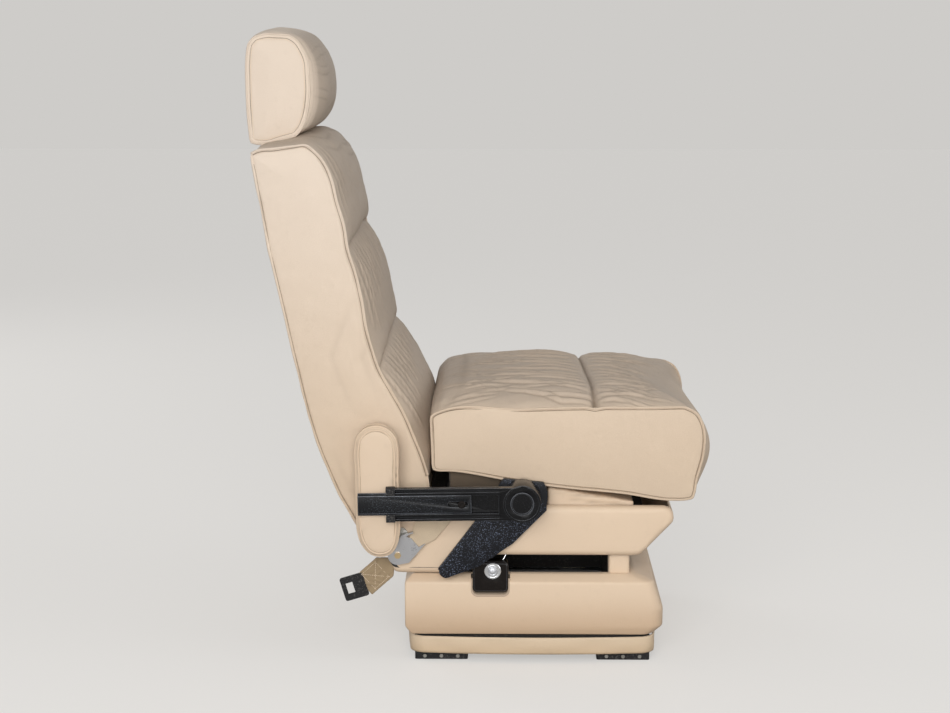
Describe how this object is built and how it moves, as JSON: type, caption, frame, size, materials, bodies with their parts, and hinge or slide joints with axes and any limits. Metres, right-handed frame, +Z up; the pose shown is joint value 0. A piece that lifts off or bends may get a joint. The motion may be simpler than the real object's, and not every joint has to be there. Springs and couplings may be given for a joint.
{
  "type": "airliner seat",
  "caption": "Single airliner seat on a floor plinth, with a reclining back, raised headrest, folding and telescoping armrests, floor tracks, release button and lap belt fittings.",
  "frame": {"origin": "centre of the four floor bolt holes, on the floor plane", "axes": "+X is forward, the way the sitter faces; +Y is the sitter's left; +Z is up"},
  "size_m": [0.8563, 0.634, 1.1301],
  "materials": {
    "seat_leather": "soft matte hide",
    "base_leather": "soft matte hide over moulded covers",
    "skirt_leather": "soft matte hide",
    "tan_cloth": "woven cover",
    "webbing": "woven belt",
    "arm_paint": "satin black",
    "black_bracket": "textured black",
    "dark_frame": "matte black",
    "black_casting": "matte black",
    "black_gloss": "gloss",
    "nylon": "matte",
    "chrome": "polished",
    "zinc_steel": "satin",
    "aluminium_rail": "satin",
    "brass": "satin"
  },
  "bodies": {
    "floor_base": {"floor_fittings": "black_casting", "foot_screws": "zinc_steel", "plinth_frame": "dark_frame", "plinth_skirt": "skirt_leather", "track_rails": "aluminium_rail"},
    "carriage": {"glide_blocks": "nylon", "carriage_frame": "dark_frame", "base_shroud_right": "base_leather", "base_shroud_left": "base_leather", "base_shroud_front": "base_leather", "base_shroud_rear": "base_leather", "post_covers": "base_leather", "control_housing": "black_gloss", "button_bezel": "chrome", "release_rod": "zinc_steel", "pan_frame": "dark_frame", "pan_diaphragm": "dark_frame", "pan_shroud_right": "base_leather", "pan_shroud_left": "base_leather", "pan_shroud_front": "base_leather", "pan_cover_rear": "tan_cloth", "pan_cover_front": "tan_cloth", "seat_cushion": "seat_leather", "armrest_bracket_right": "black_bracket", "armrest_bracket_left": "black_bracket", "armrest_hub_pins": "zinc_steel", "recline_pins": "zinc_steel", "recline_lock_body": "dark_frame", "belt_anchor_bolts": "brass", "belt_stub": "webbing", "belt_tongue": "zinc_steel"},
    "backrest": {"back_shell": "seat_leather", "back_pad_upper": "seat_leather", "back_pad_middle": "seat_leather", "back_pad_lumbar": "seat_leather", "back_rear_flap": "base_leather", "back_frame": "dark_frame", "headrest_guides": "nylon"},
    "headrest": {"headrest_posts": "chrome", "headrest_core": "nylon", "headrest_cushion": "seat_leather"},
    "arm_right": {"armrest_channel_right": "arm_paint", "hub_cap_right": "black_gloss", "channel_collar_right": "arm_paint", "lock_knob_right": "black_casting"},
    "arm_left": {"armrest_channel_left": "arm_paint", "hub_cap_left": "black_gloss", "channel_collar_left": "arm_paint", "lock_knob_left": "black_casting"},
    "arm_slide_right": {"slide_bar_right": "arm_paint", "armrest_pad_right": "seat_leather"},
    "arm_slide_left": {"slide_bar_left": "arm_paint", "armrest_pad_left": "seat_leather"},
    "button": {"release_button": "chrome"},
    "hook_right": {"belt_hook_right": "zinc_steel", "belt_webbing_right": "webbing"},
    "hook_left": {"belt_hook_left": "zinc_steel", "belt_webbing_left": "webbing"},
    "lock_rod": {"recline_lock_rod": "zinc_steel"}
  },
  "joints": [
    {"name": "track_slide", "type": "slide", "parent": "floor_base", "child": "carriage", "axis": [1, 0, 0], "range_m": [-0.05, 0.05]},
    {"name": "recline", "type": "hinge", "parent": "carriage", "child": "backrest", "pos_m": [-0.237, 0, 0.238], "axis": [0, -1, 0], "range_deg": [0, 22]},
    {"name": "headrest_height", "type": "slide", "parent": "backrest", "child": "headrest", "axis": [-0.1392, 0, 0.9903], "range_m": [0, 0.06]},
    {"name": "arm_right_fold", "type": "hinge", "parent": "carriage", "child": "arm_right", "pos_m": [-0.02, -0.286, 0.311], "axis": [0, 1, 0], "range_deg": [0, 90]},
    {"name": "arm_left_fold", "type": "hinge", "parent": "carriage", "child": "arm_left", "pos_m": [-0.02, 0.286, 0.311], "axis": [0, 1, 0], "range_deg": [0, 90]},
    {"name": "arm_right_length", "type": "slide", "parent": "arm_right", "child": "arm_slide_right", "axis": [0.9999, 0, 0.014], "range_m": [-0.0075, 0.021]},
    {"name": "arm_left_length", "type": "slide", "parent": "arm_left", "child": "arm_slide_left", "axis": [0.9999, 0, 0.014], "range_m": [-0.0075, 0.021]},
    {"name": "release_press", "type": "slide", "parent": "carriage", "child": "button", "axis": [0, 1, 0], "range_m": [0, 0.004], "stiffness_N_per_m": 900},
    {"name": "belt_hook_right_turn", "type": "hinge", "parent": "carriage", "child": "hook_right", "pos_m": [-0.242, -0.255, 0.202], "axis": [0, 1, 0], "range_deg": [-8, 8]},
    {"name": "belt_hook_left_turn", "type": "hinge", "parent": "carriage", "child": "hook_left", "pos_m": [-0.242, 0.255, 0.202], "axis": [0, 1, 0], "range_deg": [-8, 8]},
    {"name": "lock_rod_slide", "type": "slide", "parent": "carriage", "child": "lock_rod", "axis": [1, 0, 0], "range_m": [0, 0.0195]}
  ],
  "couplings": [
    {"joint": "lock_rod_slide", "follows": "recline", "m_per_rad": 0.049693}
  ]
}
